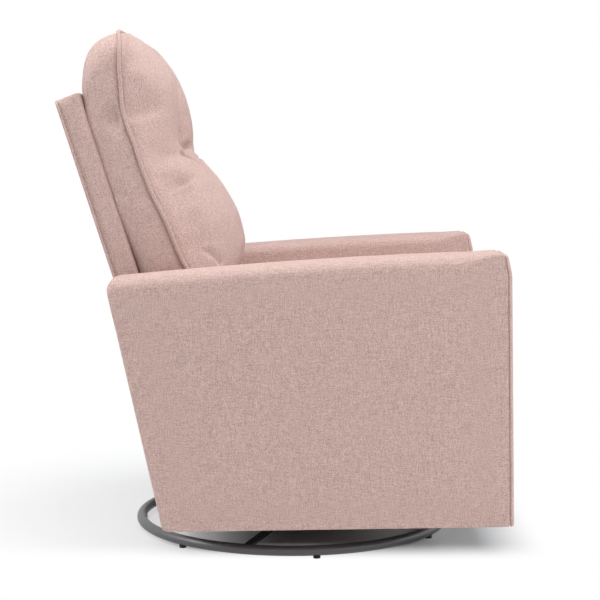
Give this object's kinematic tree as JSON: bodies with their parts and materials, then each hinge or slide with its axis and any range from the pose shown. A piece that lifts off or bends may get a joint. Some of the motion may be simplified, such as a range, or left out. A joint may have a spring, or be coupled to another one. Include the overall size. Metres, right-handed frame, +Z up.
{
  "type": "swivel glider recliner",
  "caption": "Upholstered armchair on a round tubular floor ring that swivels, glides on hanging links, reclines its back and folds out a footrest.",
  "frame": {"origin": "on the floor, at the middle of the width and of the depth", "axes": "+Z up, the chair faces -Y, the sitter's left hand is towards +X"},
  "size_m": [0.798, 0.8584, 1.0168],
  "materials": {
    "upholstery": "blush heathered weave",
    "welt": "bias-cut welt cord in the same weave",
    "ring_steel": "satin dark grey powder coat",
    "bar_steel": "black powder coat",
    "mechanism_steel": "zinc plated",
    "bearing_steel": "polished",
    "cage_brass": "pressed",
    "timber": "sawn hardwood",
    "felt": "pressed felt",
    "black_plastic": "moulded",
    "grey_plastic": "moulded",
    "nylon": "moulded nylon",
    "glide_rubber": "moulded"
  },
  "bodies": {
    "base": {"base_ring": "ring_steel", "cross_bar_long": "bar_steel", "cross_bar_halves": "bar_steel", "floor_glides": "glide_rubber", "lower_hub_plate": "mechanism_steel", "king_pin": "mechanism_steel", "king_nut": "mechanism_steel", "ball_cage": "cage_brass", "bearing_balls": "bearing_steel"},
    "swivel_frame": {"upper_hub_plate": "mechanism_steel", "glider_cross_members": "bar_steel", "glider_side_rails": "bar_steel", "glider_uprights": "bar_steel", "upper_glide_pins": "mechanism_steel", "frame_bolts": "mechanism_steel", "glide_washers": "nylon"},
    "front_links": {"front_glide_links": "bar_steel"},
    "rear_links": {"rear_glide_links": "bar_steel"},
    "chair": {"lower_glide_pins": "mechanism_steel", "glide_spacers": "nylon", "side_plates": "mechanism_steel", "cross_braces": "bar_steel", "arm_cleats": "timber", "seat_side_rails": "timber", "seat_cross_rails": "timber", "seat_springs": "mechanism_steel", "deck_pad": "felt", "seat_cushion": "upholstery", "arm_right_frame": "timber", "arm_left_frame": "timber", "arm_right_cover": "upholstery", "arm_left_cover": "upholstery", "arm_front_facings": "upholstery", "arm_front_welts": "welt", "rear_rails": "timber", "rear_panel": "upholstery", "hinge_pins": "mechanism_steel", "scissor_pivot_pins": "mechanism_steel", "release_cup": "black_plastic", "release_pin": "mechanism_steel"},
    "back": {"back_posts": "timber", "back_rails": "timber", "back_brackets": "mechanism_steel", "back_shell": "upholstery", "back_cushion": "upholstery", "back_cushion_welt": "welt"},
    "scissor_lower_outer": {"lower_outer_bars": "bar_steel", "drive_tube": "bar_steel"},
    "scissor_lower_inner": {"lower_inner_bars": "bar_steel"},
    "scissor_upper_outer": {"upper_outer_bars": "bar_steel"},
    "scissor_upper_inner": {"upper_inner_bars": "bar_steel"},
    "footrest": {"footrest_brackets": "bar_steel", "footrest_board": "timber", "footrest_cushion": "upholstery"},
    "lever": {"release_lever": "grey_plastic"}
  },
  "joints": [
    {"name": "swivel", "type": "hinge", "parent": "base", "child": "swivel_frame", "pos_m": [0, -0.02, 0.025], "axis": [0, 0, 1], "continuous": true},
    {"name": "glide", "type": "hinge", "parent": "swivel_frame", "child": "front_links", "pos_m": [0, -0.13, 0.2], "axis": [-1, 0, 0], "range_deg": [-18, 18]},
    {"name": "chair_level", "type": "hinge", "parent": "front_links", "child": "chair", "pos_m": [0, -0.13, 0.1], "axis": [-1, 0, 0], "range_deg": [-18, 18]},
    {"name": "rear_link_swing", "type": "hinge", "parent": "swivel_frame", "child": "rear_links", "pos_m": [0, 0.09, 0.2], "axis": [-1, 0, 0], "range_deg": [-18, 18]},
    {"name": "back_recline", "type": "hinge", "parent": "chair", "child": "back", "pos_m": [0, 0.238, 0.351], "axis": [-1, 0, 0], "range_deg": [0, 30]},
    {"name": "footrest_extend", "type": "hinge", "parent": "chair", "child": "scissor_lower_outer", "pos_m": [0, -0.29501, 0.32], "axis": [-1, 0, 0], "range_deg": [0, 50]},
    {"name": "lower_inner_swing", "type": "hinge", "parent": "scissor_lower_outer", "child": "scissor_lower_inner", "pos_m": [0, -0.31151, 0.22644], "axis": [-1, 0, 0], "range_deg": [-100, 0]},
    {"name": "upper_outer_swing", "type": "hinge", "parent": "scissor_lower_inner", "child": "scissor_upper_outer", "pos_m": [0, -0.32801, 0.32], "axis": [-1, 0, 0], "range_deg": [0, 100]},
    {"name": "upper_inner_swing", "type": "hinge", "parent": "scissor_upper_outer", "child": "scissor_upper_inner", "pos_m": [0, -0.3445, 0.22644], "axis": [-1, 0, 0], "range_deg": [-100, 0]},
    {"name": "footboard_turn", "type": "hinge", "parent": "scissor_upper_inner", "child": "footrest", "pos_m": [0, -0.361, 0.32], "axis": [-1, 0, 0], "range_deg": [0, 140]},
    {"name": "release_pull", "type": "hinge", "parent": "chair", "child": "lever", "pos_m": [-0.2845, -0.094, 0.499], "axis": [-1, 0, 0], "range_deg": [0, 20], "stiffness_Nm_per_rad": 0.6, "springref_deg": -11.46}
  ],
  "couplings": [
    {"joint": "chair_level", "follows": "glide", "ratio": -1},
    {"joint": "rear_link_swing", "follows": "glide", "ratio": 1},
    {"joint": "lower_inner_swing", "follows": "footrest_extend", "ratio": -2},
    {"joint": "upper_outer_swing", "follows": "footrest_extend", "ratio": 2},
    {"joint": "upper_inner_swing", "follows": "footrest_extend", "ratio": -2},
    {"joint": "footboard_turn", "follows": "footrest_extend", "ratio": 2.8}
  ]
}
